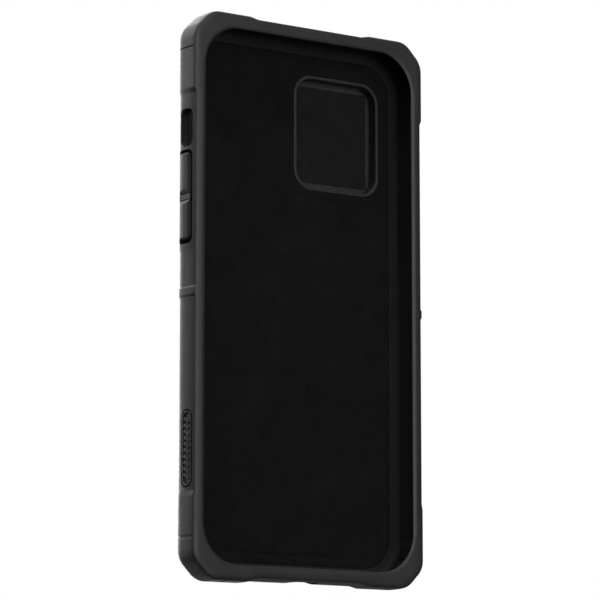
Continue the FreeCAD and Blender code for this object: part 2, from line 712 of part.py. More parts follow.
def carrier(x_sign, z0, z1, holes, valley):
    """Soft web that closes the wall behind the keys and carries them."""
    lo = x_sign * (bw + 0.02)
    hi = x_sign * P["carrier_face"]
    web = side_slot(min(lo, hi), max(lo, hi), ks[0], ks[1], z0, z1,
                    P["key_slot_rad"])
    dm = (P["key_front"] + P["key_back"]) / 2
    for z in holes:
        web = web.cut(Part.makeCylinder(
            P["nub_hole"], 3, V(x_sign * (bw - 1), Y(dm), P["zmid"] + z),
            V(x_sign, 0, 0)))
    if valley:
        lo, hi = x_sign * (P["carrier_face"] - 0.05), x_sign * 37.80
        bridge = side_slot(min(lo, hi), max(lo, hi), P["key_front"] + 0.1,
                           P["key_back"] - 0.1, P["valley_low"],
                           P["valley_top"], 0.5)
        web = web.fuse(bridge)
    return web.removeSplitter()


kg, ke = P["key_gap"], P["key_end_gap"]
down_z = (P["key_slot_low"] + ke + 0.6, P["valley_low"] - kg)
up_z = (P["valley_top"] + kg, P["key_slot_top"] - ke)
pow_z = (P["pow_low"] + ke, P["pow_top"] - ke)
keep(feature("volume_up_key", crown(-1, up_z[0], up_z[1], True, False)),
     "volume_up_key")
keep(feature("volume_down_key", crown(-1, down_z[0], down_z[1], False, True)),
     "volume_down_key")
keep(feature("power_key", crown(1, pow_z[0], pow_z[1], False, False)),
     "power_key")
keep(feature("volume_key_carrier",
             carrier(-1, P["key_slot_low"], P["key_slot_top"],
                     [sum(up_z) / 2, sum(down_z) / 2], True)),
     "volume_key_carrier")
keep(feature("power_key_carrier",
             carrier(1, P["pow_low"], P["pow_top"], [sum(pow_z) / 2],
                     False)),
     "power_key_carrier")

# ---------------------------------------------------------------- back plate
b = new_body("back_plate")
sk = rect_sketch(b, "plate_outline", "plate_back",
                 [("-plate_halfw", "plate_halfw", "-plate_low", "plate_top")])
f = pad(b, sk, "plate_back - liner_back")
doc.recompute()
f = dress(b, "Fillet", f, edges_along_y(f.Shape), "plate_rad")
sk = rect_sketch(b, "plate_window", "plate_back",
                 [("win_x - win_halfw - win_wall",
                   "win_x + win_halfw + win_wall",
                   "cam_mid - win_halfh - win_wall",
                   "cam_mid + win_halfh + win_wall")])
f = pocket(b, sk, "plate_back - liner_back", True)
near = lambda e: (abs(abs(e.Vertexes[0].X - P["win_x"])
                      - P["win_halfw"] - P["win_wall"]) < 1e-4
                  and abs(abs(e.Vertexes[0].Z - P["zmid"] - P["cam_mid"])
                          - P["win_halfh"] - P["win_wall"]) < 1e-4)
f = dress(b, "Fillet", f, edges_along_y(f.Shape, near),
          "win_rad + win_wall")
# shallow decorative channels in the rear face
chan = []
for sx in ("-", ""):
    a0, a1 = ("-28.6", "-27.4") if sx else ("27.4", "28.6")
    chan.append((a0, a1, "-66", "-40"))
    chan.append((a0, a1, "-34", "22"))
chan += [("-20", "20", "-52.6", "-51.4"), ("-16", "16", "-57.6", "-56.4"),
         ("-12", "12", "-62.6", "-61.4")]
sk = rect_sketch(b, "plate_channels", "plate_back", chan)
f = pocket(b, sk, "0.45", True)
doc.recompute()
plate_body = b
bore = cyl_y("plate_bore", "bore_rad", "0", "-hub_low", "liner_back - 1",
             "plate_back + 1")
recess = cyl_y("plate_recess", "recess_rad", "0", "-hub_low",
               "liner_back - 1", "recess_back")
tool = fuse("plate_holes", [bore, recess])
plate = cut("plate_cut", plate_body, tool)
keep(plate, "back_plate")

# --------------------------------------------------------------- inner liner
b = new_body("inner_liner")
sk = rect_sketch(b, "liner_outline", "liner_back",
                 [("-plate_halfw", "plate_halfw", "-plate_low", "plate_top")])
f = pad(b, sk, "liner_back - seat_depth")
doc.recompute()
f = dress(b, "Fillet", f, edges_along_y(f.Shape), "plate_rad")
sk = rect_sketch(b, "liner_window", "liner_back",
                 [("win_x - win_halfw - win_wall",
                   "win_x + win_halfw + win_wall",
                   "cam_mid - win_halfh - win_wall",
                   "cam_mid + win_halfh + win_wall")])
f = pocket(b, sk, "liner_back - seat_depth", True)
f = dress(b, "Fillet", f, edges_along_y(f.Shape, near),
          "win_rad + win_wall")
keep(b, "inner_liner")

# -------------------------------------------------------------- camera frame
b = new_body("camera_frame")
sk = rect_sketch(b, "frame_tube", "flange_back",
                 [("win_x - win_halfw - win_wall",
                   "win_x + win_halfw + win_wall",
                   "cam_mid - win_halfh - win_wall",
                   "cam_mid + win_halfh + win_wall")])
f = pad(b, sk, "flange_back - seat_depth")
doc.recompute()
f = dress(b, "Fillet", f, edges_along_y(f.Shape), "win_rad + win_wall")
tube = b
b = new_body("camera_flange")
sk = rect_sketch(b, "frame_flange", "flange_back",
                 [("win_x - win_halfw - win_wall - win_flange",
                   "win_x + win_halfw + win_wall + win_flange",
                   "cam_mid - win_halfh - win_wall - win_flange",
                   "cam_mid + win_halfh + win_wall + win_flange")])
f = pad(b, sk, "flange_back - plate_back")
doc.recompute()
f = dress(b, "Fillet", f, edges_along_y(f.Shape),
          "win_rad + win_wall + win_flange")
flange = b
b = new_body("camera_void")
sk = rect_sketch(b, "frame_void", "flange_back + 1",
                 [("win_x - win_halfw", "win_x + win_halfw",
                   "cam_mid - win_halfh", "cam_mid + win_halfh")])
f = pad(b, sk, "flange_back - seat_depth + 2")
doc.recompute()
f = dress(b, "Fillet", f, edges_along_y(f.Shape), "win_rad")
keep(cut("camera_frame_cut", fuse("camera_frame_fuse", [tube, flange]), b),
     "camera_frame")

# --------------------------------------------------------------- slide bezel
b = new_body("slide_bezel")
sk = rect_sketch(b, "bezel_outline", "island_back",
                 [("-bez_halfw", "bez_halfw", "cam_mid - bez_halfh",
                   "cam_mid + bez_halfh")])
f = pad(b, sk, "island_back - plate_back")
doc.recompute()
f = dress(b, "Fillet", f, edges_along_y(f.Shape), "bez_rad")
f = dress(b, "Chamfer", f, edges_at_depth(f.Shape, P["island_back"]),
          "bez_edge")
sk = rect_sketch(b, "bezel_mouth", "island_back",
                 [("-bez_in_halfw", "bez_in_halfw",
                   "cam_mid - bez_in_halfh", "cam_mid + bez_in_halfh")])
f = pocket(b, sk, "island_back - plate_back", True)
sk = rect_sketch(b, "bezel_slot", "bez_slot_back",
                 [("-bez_in_halfw", "bez_in_halfw",
                   "cam_mid - bez_slot_halfh", "cam_mid + bez_slot_halfh")])
f = pocket(b, sk, "bez_slot_back - plate_back", True)
keep(b, "slide_bezel")

# -------------------------------------------------------------- camera cover
b = new_body("camera_cover")
sk = rect_sketch(b, "cover_flange", "cover_step",
                 [("cover_x - cover_halfw", "cover_x + cover_halfw",
                   "cam_mid - cover_flange_halfh",
                   "cam_mid + cover_flange_halfh")])
f = pad(b, sk, "cover_step - cover_front")
doc.recompute()
sk = rect_sketch(b, "cover_body", "cover_back",
                 [("cover_x - cover_halfw", "cover_x + cover_halfw",
                   "cam_mid - cover_body_halfh",
                   "cam_mid + cover_body_halfh")])
f = pad(b, sk, "cover_back - cover_step")
doc.recompute()
f = dress(b, "Fillet", f, edges_at_depth(f.Shape, P["cover_back"]),
          "cover_edge")
sk = rect_sketch(b, "cover_grip_seat", "cover_back",
                 [("grip_x - grip_halfw", "grip_x + grip_halfw",
                   "cam_mid - grip_halfh", "cam_mid + grip_halfh")])
f = pocket(b, sk, "cover_back - grip_front", True)
sk = rect_sketch(b, "cover_pad_seat", "pad_back",
                 [("cover_x - pad_halfw", "cover_x + pad_halfw",
                   "cam_mid - pad_halfh", "cam_mid + pad_halfh")])
f = pocket(b, sk, "pad_back - cover_front", True)
# two styling lines across the outer face
sk = rect_sketch(b, "cover_lines", "cover_back",
                 [("11.0", "27.6", "cam_mid - 10.4", "cam_mid - 9.6"),
                  ("11.0", "27.6", "cam_mid + 9.6", "cam_mid + 10.4")])
f = pocket(b, sk, "0.35", True)
keep(b, "camera_cover")

b = new_body("cover_pad")
sk = rect_sketch(b, "pad_outline", "pad_back",
                 [("cover_x - pad_halfw", "cover_x + pad_halfw",
                   "cam_mid - pad_halfh", "cam_mid + pad_halfh")])
f = pad(b, sk, "pad_back - cover_front")
keep(b, "cover_pad")

b = new_body("cover_grip")
sk = rect_sketch(b, "grip_outline", "grip_back",
                 [("grip_x - grip_halfw", "grip_x + grip_halfw",
                   "cam_mid - grip_halfh", "cam_mid + grip_halfh")])
f = pad(b, sk, "grip_back - grip_front")
doc.recompute()
sk = rect_sketch(b, "grip_grooves", "grip_back",
                 [("grip_x - 1.95 + %g" % (1.3 * k),
                   "grip_x - 1.35 + %g" % (1.3 * k),
                   "cam_mid - grip_halfh", "cam_mid + grip_halfh")
                  for k in range(3)])
f = pocket(b, sk, "0.4", True)
keep(b, "cover_grip")

# ----------------------------------------------------------------- ring stand
HZ = "-hub_low"
keep(cut("bush_cut",
         fuse("bush_fuse",
              [cyl_y("bush_flange", "bush_out", "0", HZ, "plate_back",
                     "bush_back"),
               cyl_y("bush_sleeve", "bore_rad", "0", HZ, "recess_back",
                     "bush_back")]),
         cyl_y("bush_hole", "bush_in", "0", HZ, "recess_back - 1",
               "bush_back + 1")),
     "hub_bushing")

SCREWS = [(P["screw_pcd"] * math.cos(math.radians(a)),
           P["screw_pcd"] * math.sin(math.radians(a)))
          for a in (90, 210, 330)]
scr_holes, scr_solids = [], []
for i, (sx, sz) in enumerate(SCREWS):
    zx = "%.6f - hub_low" % sz
    xx = "%.6f" % sx
    scr_holes.append(cyl_y("screw_hole%d" % i, "screw_rad", xx, zx,
                           "ret_back - 0.0", "hub_front - 0.2"))
    shank = cyl_y("screw_shank%d" % i, "screw_rad", xx, zx, "ret_front",
                  "hub_front - 0.2")
    head = cone_y("screw_head%d" % i, "screw_head", "screw_rad", xx, zx,
                  "ret_front", "ret_back")
    scr_solids.append((shank, head))

hub_core = fuse("hub_core", [
    cyl_y("hub_plate", "hub_rad", "0", HZ, "hub_front", "hub_back - 0.45"),
    cone_y("hub_rim", "hub_rad", "hub_rad - 0.45", "0", HZ,
           "hub_back - 0.45", "hub_back"),
    cyl_y("hub_boss", "boss_rad", "0", HZ, "ret_back", "hub_front + 0.2"),
    box("hub_lug", "-lug_half", "lug_half", "hub_front",
        "pivot_depth + knuckle_rad", "pivot_up - 3.6 - hub_low",
        "pivot_up - hub_low"),
    cyl_x("hub_eye", "knuckle_rad", "-lug_half", "lug_half", "pivot_depth",
          "pivot_up - hub_low"),
])
hub_tools = fuse("hub_tools", [
    cyl_y("hub_seat", "mag_rad + 0.02", "0", HZ, "mag_front",
          "hub_back + 1"),
    cyl_x("hub_pin_hole", "pin_hole", "-lug_half - 1", "lug_half + 1",
          "pivot_depth", "pivot_up - hub_low"),
] + scr_holes)
keep(cut("hub_cut", hub_core, hub_tools), "hub_disc")

ret_tools = []
for i, (sx, sz) in enumerate(SCREWS):
    ret_tools.append(cone_y("ret_csk%d" % i, "screw_head", "screw_rad",
                            "%.6f" % sx, "%.6f - hub_low" % sz,
                            "ret_front", "ret_back"))
keep(cut("ret_cut",
         cyl_y("ret_disc", "ret_rad", "0", HZ, "ret_front", "ret_back"),
         fuse("ret_tools", ret_tools)),
     "hub_retainer")

screws = []
for i, (shank, head) in enumerate(scr_solids):
    body_i = fuse("screw_body%d" % i, [shank, head])
    sx, sz = SCREWS[i]
    slot = box("screw_slot%d" % i, "%.6f - 1.0" % sx, "%.6f + 1.0" % sx,
               "ret_front - 1", "ret_front + 0.22",
               "%.6f - hub_low - 0.16" % sz, "%.6f - hub_low + 0.16" % sz)
    screws.append(cut("screw_cut%d" % i, body_i, slot))
comp = doc.addObject("Part::Compound", "retainer_screws")
comp.Links = screws
keep(comp, "retainer_screws")

keep(cut("wash_cut",
         cyl_y("wash_disc", "wash_out", "0", HZ, "wash_front", "wash_back"),
         cyl_y("wash_hole", "wash_in", "0", HZ, "wash_front - 1",
               "wash_back + 1")),
     "friction_washer")

mag_groove = cut("mag_groove",
                 cyl_y("mag_g_out", "mag_rad - 2.2", "0", HZ,
                       "mag_back - 0.18", "mag_back + 1"),
                 cyl_y("mag_g_in", "mag_rad - 2.8", "0", HZ,
                       "mag_back - 0.5", "mag_back + 2"))
keep(cut("mag_cut",
         fuse("mag_fuse",
              [cyl_y("mag_disc", "mag_rad", "0", HZ, "mag_front",
                     "mag_back - 0.2"),
               cone_y("mag_rim", "mag_rad", "mag_rad - 0.2", "0", HZ,
                      "mag_back - 0.2", "mag_back")]),
         mag_groove),
     "magnet_plate")

# ring band, open at the hinge, with a knuckle at each end of the gap
band_solid = fuse("band_solid", [
    cyl_y("band_mid", "ring_out", "0", HZ, "ring_front + 0.35",
          "ring_back - 0.45"),
    cone_y("band_lower", "ring_out - 0.35", "ring_out", "0", HZ,
           "ring_front", "ring_front + 0.35"),
    cone_y("band_upper", "ring_out", "ring_out - 0.45", "0", HZ,
           "ring_back - 0.45", "ring_back")])
band_hole = fuse("band_hole", [
    cyl_y("band_in", "ring_in", "0", HZ, "ring_front - 1", "ring_back + 1"),
    cone_y("band_in_edge", "ring_in", "ring_in + 0.4", "0", HZ,
           "ring_back - 0.4", "ring_back + 0.0"),
    box("band_gap", "-knuckle_in", "knuckle_in", "ring_front - 1",
        "ring_back + 1", "10 - hub_low", "30 - hub_low"),
    box("band_top", "-12", "12", "ring_front - 1", "ring_back + 1",
        "pivot_up - hub_low", "30 - hub_low"),
    # finger notch at the free end
    cyl_y("band_notch", "7.5", "0", "-hub_low - ring_out - 6.6",
          "ring_front - 1", "ring_back + 1")])
band = cut("band_cut", band_solid, band_hole)
knuckles = [cyl_x("knuckle_l", "knuckle_rad", "-knuckle_out", "-knuckle_in",
                  "pivot_depth", "pivot_up - hub_low"),
            cyl_x("knuckle_r", "knuckle_rad", "knuckle_in", "knuckle_out",
                  "pivot_depth", "pivot_up - hub_low")]
keep(cut("ring_cut", fuse("ring_fuse", [band] + knuckles),
         cyl_x("ring_pin_hole", "pin_rad", "-knuckle_out - 1",
               "knuckle_out + 1", "pivot_depth", "pivot_up - hub_low")),
     "ring_loop")
keep(cyl_x("pin_solid", "pin_rad", "-knuckle_out", "knuckle_out",
           "pivot_depth", "pivot_up - hub_low"), "hinge_pin")

# ------------------------------------------------------------ check and write
doc.recompute()
bad = [o.Name for o in doc.Objects
       if set(o.State) & {"Invalid", "Error"}]
assert not bad, "objects in error: %s" % bad
os.makedirs("parts", exist_ok=True)
print("%-20s %9s %5s %s" % ("node", "mm3", "parts", "box"))
for o in SUBPARTS:
    s = o.Shape
    assert not s.isNull(), o.Label + " is empty"
    assert s.isValid(), o.Label + " is not valid"
    assert s.Volume > 0.05, o.Label
    bb = s.BoundBox
    print("%-20s %9.1f %5d  x %.2f..%.2f y %.2f..%.2f z %.2f..%.2f"
          % (o.Label, s.Volume, len(s.Solids), bb.XMin, bb.XMax, bb.YMin,
             bb.YMax, bb.ZMin, bb.ZMax))
    s.exportStep(os.path.join("parts", o.Label + ".step"))
print("written", len(SUBPARTS), "nodes")
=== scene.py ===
"""Looks of the rugged phone case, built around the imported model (metres)."""
import bpy
import bmesh
import json
import math
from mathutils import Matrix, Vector, noise as mnoise
from mathutils.geometry import delaunay_2d_cdt


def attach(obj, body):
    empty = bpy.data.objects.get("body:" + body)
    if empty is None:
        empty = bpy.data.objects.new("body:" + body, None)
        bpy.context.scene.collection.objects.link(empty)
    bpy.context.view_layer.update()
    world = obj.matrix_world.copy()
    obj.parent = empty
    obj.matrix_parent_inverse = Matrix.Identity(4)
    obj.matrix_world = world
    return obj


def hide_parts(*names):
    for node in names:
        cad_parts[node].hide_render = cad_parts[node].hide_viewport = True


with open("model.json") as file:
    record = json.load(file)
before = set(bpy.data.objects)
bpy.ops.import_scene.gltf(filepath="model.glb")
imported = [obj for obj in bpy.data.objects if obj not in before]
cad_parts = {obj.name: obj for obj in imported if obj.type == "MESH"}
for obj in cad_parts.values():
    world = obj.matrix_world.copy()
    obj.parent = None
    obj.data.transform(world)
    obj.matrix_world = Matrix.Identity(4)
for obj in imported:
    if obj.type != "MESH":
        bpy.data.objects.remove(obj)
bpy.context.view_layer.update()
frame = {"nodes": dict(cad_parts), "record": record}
scene = bpy.context.scene
MM = 0.001
Y_FRONT = -7.3          # front of the lip, mm
Z_MID = 76.87           # middle of the screen opening, mm


def at(x, depth, z):
    """Point given from the lip front and the opening's middle, in mm."""
    return Vector((x * MM, (Y_FRONT + depth) * MM, (Z_MID + z) * MM))


# ------------------------------------------------------------------ camera
AZ, EL = math.radians(-35.4822), math.radians(-8.8706)
DIST = 870.886
TARGET = at(-3.8809, 0.0, -0.0634)
back = Vector((math.sin(AZ) * math.cos(EL), -math.cos(AZ) * math.cos(EL),
               math.sin(EL)))
cam_data = bpy.data.cameras.new("camera")
cam_data.sensor_width = 36.0
cam_data.lens = 3217.165 / 600.0 * 36.0
cam_data.clip_start = 0.01
cam_data.clip_end = 20.0
cam = bpy.data.objects.new("camera", cam_data)
scene.collection.objects.link(cam)
cam.location = TARGET + back * (DIST * MM)
cam.rotation_euler = (-back).to_track_quat("-Z", "Y").to_euler()
scene.camera = cam


# --------------------------------------------------------------- materials
def new_material(name):
    m = bpy.data.materials.new(name)
    m.use_nodes = True
    nt = m.node_tree
    nt.nodes.clear()
    out = nt.nodes.new("ShaderNodeOutputMaterial")
    bsdf = nt.nodes.new("ShaderNodeBsdfPrincipled")
    nt.links.new(bsdf.outputs[0], out.inputs[0])
    return m, nt, bsdf


def node(nt, kind, **inputs):
    n = nt.nodes.new(kind)
    for k, v in inputs.items():
        if k in n.inputs:
            n.inputs[k].default_value = v
        else:
            setattr(n, k, v)
    return n


def object_coords(nt, scale=(1, 1, 1), rotation=(0, 0, 0)):
    tc = nt.nodes.new("ShaderNodeTexCoord")
    mp = nt.nodes.new("ShaderNodeMapping")
    mp.inputs["Scale"].default_value = scale
    mp.inputs["Rotation"].default_value = rotation
    nt.links.new(tc.outputs["Object"], mp.inputs["Vector"])
    return mp.outputs["Vector"]


def noise(nt, vec, scale, detail=2.0, rough=0.5):
    n = nt.nodes.new("ShaderNodeTexNoise")
    n.inputs["Scale"].default_value = scale
    n.inputs["Detail"].default_value = detail
    n.inputs["Roughness"].default_value = rough
    nt.links.new(vec, n.inputs["Vector"])
    return n.outputs["Fac"]


def ramp(nt, fac, a, b, ca, cb):
    """Colour or value ramp between two greys or colours."""
    r = nt.nodes.new("ShaderNodeValToRGB")
    e = r.color_ramp.elements
    e[0].position, e[1].position = a, b
    e[0].color = (*ca, 1) if len(ca) == 3 else ca
    e[1].color = (*cb, 1) if len(cb) == 3 else cb
    nt.links.new(fac, r.inputs["Fac"])
    return r.outputs["Color"]


def maths(nt, op, a, b=None, clamp=False):
    n = nt.nodes.new("ShaderNodeMath")
    n.operation = op
    n.use_clamp = clamp
    for i, v in enumerate((a, b)):
        if v is None:
            continue
        if isinstance(v, (int, float)):
            n.inputs[i].default_value = v
        else:
            nt.links.new(v, n.inputs[i])
    return n.outputs[0]


def map_range(nt, v, a, b, c, d):
    n = nt.nodes.new("ShaderNodeMapRange")
    n.inputs["From Min"].default_value = a
    n.inputs["From Max"].default_value = b
    n.inputs["To Min"].default_value = c
    n.inputs["To Max"].default_value = d
    nt.links.new(v, n.inputs["Value"])
    return n.outputs["Result"]


def mix_colour(nt, fac, a, b):
    n = nt.nodes.new("ShaderNodeMix")
    n.data_type = "RGBA"
    for sock, v in ((n.inputs[0], fac), (n.inputs[6], a), (n.inputs[7], b)):
        if isinstance(v, (int, float)):
            sock.default_value = v
        elif isinstance(v, tuple):
            sock.default_value = (*v, 1)
        else:
            nt.links.new(v, sock)
    return n.outputs[2]


def bump(nt, height, strength, distance):
    b = nt.nodes.new("ShaderNodeBump")
    b.inputs["Strength"].default_value = strength
    b.inputs["Distance"].default_value = distance
    nt.links.new(height, b.inputs["Height"])
    return b.outputs["Normal"]


def plastic(name, colour, rough, grain=5200.0, grain_depth=0.00002,
            strength=0.35, vary=0.18, rough_vary=0.07, painted_shade=None,
            specular=0.5):
    """Moulded black plastic or rubber: a fine spark-eroded grain and a slow
    drift in tone and gloss."""
    m, nt, b = new_material(name)
    vec = object_coords(nt)
    slow = noise(nt, vec, 46.0, 3.0, 0.55)
    fine = noise(nt, vec, grain, 3.0, 0.6)
    mid = noise(nt, vec, grain * 0.22, 2.0, 0.5)
    lo = tuple(c * (1 - vary) for c in colour)
    hi = tuple(c * (1 + vary) for c in colour)
    col = ramp(nt, maths(nt, "ADD", maths(nt, "MULTIPLY", slow, 0.65),
                         maths(nt, "MULTIPLY", fine, 0.35)),
               0.34, 0.66, lo, hi)
    rgh = map_range(nt, maths(nt, "ADD", maths(nt, "MULTIPLY", slow, 0.5),
                              maths(nt, "MULTIPLY", mid, 0.5)),
                    0.3, 0.7, rough - rough_vary, rough + rough_vary)
    if painted_shade:
        # painted shade: inside the given outline and behind the lip the colour
        # is painted near-black, where the bay's walls and the key gaps fall
        # into shade; roughness is raised there too
        geo = nt.nodes.new("ShaderNodeTexCoord")
        sep = nt.nodes.new("ShaderNodeSeparateXYZ")
        nt.links.new(geo.outputs["Object"], sep.inputs[0])
        ax = maths(nt, "ABSOLUTE", sep.outputs[0])
        az = maths(nt, "ABSOLUTE",
                   maths(nt, "SUBTRACT", sep.outputs[2], Z_MID * MM))
        in_x = maths(nt, "LESS_THAN", ax, painted_shade[0])
        in_z = maths(nt, "LESS_THAN", az, painted_shade[1])
        deep = maths(nt, "GREATER_THAN", sep.outputs[1], painted_shade[2])
        cut = maths(nt, "LESS_THAN", maths(nt, "ADD", ax, az),
                    painted_shade[0] + painted_shade[1] - 4.5 * MM)
        f = maths(nt, "MULTIPLY", maths(nt, "MULTIPLY", in_x, in_z),
                  maths(nt, "MULTIPLY", deep, cut))
        col = mix_colour(nt, f, col, painted_shade[3])
        rgh = maths(nt, "MAXIMUM", rgh, maths(nt, "MULTIPLY", f, 0.82))
    nt.links.new(col, b.inputs["Base Color"])
    nt.links.new(rgh, b.inputs["Roughness"])
    h = maths(nt, "ADD", fine, maths(nt, "MULTIPLY", mid, 0.6))
    nt.links.new(bump(nt, h, strength, grain_depth), b.inputs["Normal"])
    b.inputs["Specular IOR Level"].default_value = specular
    return m


def metal(name, colour, rough, brushed=None, grain=6500.0, strength=0.3,
          centre=None):
    """Anodised or brushed metal; brushed is 'x' for straight or 'turned'
    for rings about a centre in the XZ plane."""
    m, nt, b = new_material(name)
    vec = object_coords(nt)
    slow = noise(nt, vec, 60.0, 3.0, 0.5)
    if brushed == "turned":
        tc = nt.nodes.new("ShaderNodeTexCoord")
        sub = nt.nodes.new("ShaderNodeVectorMath")
        sub.operation = "SUBTRACT"
        sub.inputs[1].default_value = centre
        nt.links.new(tc.outputs["Object"], sub.inputs[0])
        ln = nt.nodes.new("ShaderNodeVectorMath")
        ln.operation = "LENGTH"
        nt.links.new(sub.outputs[0], ln.inputs[0])
        cmb = nt.nodes.new("ShaderNodeCombineXYZ")
        nt.links.new(ln.outputs["Value"], cmb.inputs[0])
        fine = noise(nt, cmb.outputs[0], 9000.0, 4.0, 0.7)
    elif brushed == "x":
        vec2 = object_coords(nt, (120.0, 9000.0, 9000.0))
        fine = noise(nt, vec2, 1.0, 4.0, 0.7)
    else:
        fine = noise(nt, vec, grain, 3.0, 0.6)
    lo = tuple(c * 0.86 for c in colour)
    hi = tuple(min(1.0, c * 1.16) for c in colour)
    col = ramp(nt, maths(nt, "ADD", maths(nt, "MULTIPLY", slow, 0.4),
                         maths(nt, "MULTIPLY", fine, 0.6)),
               0.35, 0.65, lo, hi)
    nt.links.new(col, b.inputs["Base Color"])
    nt.links.new(map_range(nt, maths(nt, "ADD", maths(nt, "MULTIPLY", slow,
                                                      0.5),
                                     maths(nt, "MULTIPLY", fine, 0.5)),
                           0.3, 0.7, rough - 0.08, rough + 0.08),
                 b.inputs["Roughness"])
    b.inputs["Metallic"].default_value = 1.0
    nt.links.new(bump(nt, fine, strength, 0.00001), b.inputs["Normal"])
    return m


def cloth(name, colour, scale=2600.0, depth=0.00006, sheen=0.0):
    """Short-napped microfibre or felt."""
    m, nt, b = new_material(name)
    vec = object_coords(nt)
    a = noise(nt, vec, scale, 6.0, 0.75)
    c = noise(nt, vec, scale * 0.12, 3.0, 0.6)
    wide = noise(nt, vec, 90.0, 2.0, 0.5)
    f = maths(nt, "ADD", maths(nt, "MULTIPLY", a, 0.6),
              maths(nt, "MULTIPLY", maths(nt, "ADD", c, wide), 0.2))
    lo = tuple(x * 0.45 for x in colour)
    hi = tuple(x * 1.75 for x in colour)
    nt.links.new(ramp(nt, f, 0.35, 0.65, lo, hi), b.inputs["Base Color"])
    nt.links.new(map_range(nt, a, 0.3, 0.7, 0.85, 1.0),
                 b.inputs["Roughness"])
    nt.links.new(bump(nt, f, 0.6, depth), b.inputs["Normal"])
    b.inputs["Specular IOR Level"].default_value = 0.12
    if sheen:
        b.inputs["Sheen Weight"].default_value = sheen
        b.inputs["Sheen Roughness"].default_value = 0.5
    return m


HUB = at(0, 12.5, -16.0)
# painted shade: the bay's inner walls are painted near-black
TPU = plastic("soft_black_tpu", (0.026, 0.0265, 0.028), 0.46,
              painted_shade=(36.2 * MM, 73.8 * MM, (Y_FRONT + 1.15) * MM,
                      (0.006, 0.006, 0.0065)))
INSERT = plastic("soft_black_insert", (0.006, 0.006, 0.0065), 0.8,
                 specular=0.25)
TRIM = plastic("hard_black_trim", (0.028, 0.0285, 0.030), 0.36,
               grain=4000.0, strength=0.22)
SHELL = plastic("hard_black_shell", (0.022, 0.0225, 0.024), 0.5,
                grain=3000.0, grain_depth=0.00004, strength=0.5)
COVER = plastic("cover_black", (0.024, 0.0245, 0.026), 0.38,
                grain=3600.0, strength=0.3)
GRIP = plastic("soft_black_grip", (0.020, 0.020, 0.021), 0.62,
               grain=4200.0, strength=0.5)
# painted shade: the key flanks down in their gaps are painted near-black
KEYS = plastic("key_black", (0.027, 0.0275, 0.029), 0.42,
               grain=5000.0, strength=0.25,
               painted_shade=(37.55 * MM, 73.8 * MM, (Y_FRONT + 1.0) * MM,
                       (0.004, 0.004, 0.0043)))
# painted shade: the carrier web down in the key gaps is painted near-black
WEB = plastic("soft_black_web", (0.026, 0.0265, 0.028), 0.46,
              painted_shade=(37.2 * MM, 73.8 * MM, (Y_FRONT + 1.0) * MM,
                      (0.004, 0.004, 0.0043)))
BUSH = plastic("bush_plastic", (0.62, 0.61, 0.57), 0.4, vary=0.06)
LINER = cloth("black_microfibre", (0.0075, 0.0075, 0.008), sheen=0.03)
FELT = cloth("black_felt", (0.012, 0.012, 0.0125), scale=1800.0,
             depth=0.00012, sheen=0.15)
HUBM = metal("gunmetal_anodised", (0.17, 0.175, 0.185), 0.46)
RINGM = metal("gunmetal_ring", (0.20, 0.205, 0.22), 0.40)
MAGM = metal("magnet_steel", (0.17, 0.17, 0.175), 0.44, "turned",
             centre=tuple(HUB))
STEEL = metal("retainer_steel", (0.42, 0.42, 0.43), 0.3, "x")
PIN = metal("pin_steel", (0.5, 0.5, 0.51), 0.22, "x")

MATERIAL = {
    "bumper_frame": TPU, "corner_inserts": INSERT, "side_badge": TRIM,
    "back_plate": SHELL, "inner_liner": LINER, "camera_frame": TRIM,
    "slide_bezel": TRIM, "camera_cover": COVER, "cover_pad": FELT,
    "cover_grip": GRIP, "hub_bushing": BUSH, "hub_disc": HUBM,
    "hub_retainer": STEEL, "retainer_screws": STEEL,
    "friction_washer": STEEL, "magnet_plate": MAGM, "ring_loop": RINGM,
    "hinge_pin": PIN, "volume_up_key": KEYS, "volume_down_key": KEYS,
    "power_key": KEYS, "volume_key_carrier": WEB, "power_key_carrier": WEB,
}
BEVEL = {   # edge softening, mm
    "bumper_frame": 0.14, "side_badge": 0.08, "back_plate": 0.12,
    "camera_frame": 0.12, "slide_bezel": 0.18, "camera_cover": 0.15,
    "cover_grip": 0.1, "hub_disc": 0.1, "magnet_plate": 0.05,
    "ring_loop": 0.12, "volume_up_key": 0.12, "volume_down_key": 0.12,
    "power_key": 0.12, "volume_key_carrier": 0.12,
    "corner_inserts": 0.1, "hinge_pin": 0.1,
}
STEP_Z = (54.7, 53.4, 0.98, 0.55, -1.25, -1.85, -53.4, -54.8)
STEP_X = (17.4, 20.0)


def crisp_steps(me):
    """Marks the edges across the skin where a raised part slopes down to
    the next, so that they stay crisp under the smooth shading."""
    co = [(v.co.x / MM, v.co.y / MM - Y_FRONT, v.co.z / MM - Z_MID)
          for v in me.vertices]
    for e in me.edges:
        (xa, da, za), (xb, db, zb) = co[e.vertices[0]], co[e.vertices[1]]
        side = (min(abs(xa), abs(xb)) > 36.4 and abs(za - zb) < 0.01 and
                any(abs(za - q) < 0.02 for q in STEP_Z))
        end = (min(abs(za), abs(zb)) > 74.0 and abs(xa - xb) < 0.01 and
               any(abs(abs(xa) - q) < 0.02 for q in STEP_X))
        if (side or end) and abs(da - db) > 0.002:
            e.use_edge_sharp = True


BODY = {n: body for body, names in
        frame["record"]["behaviour"]["bodies"].items() for n in names}


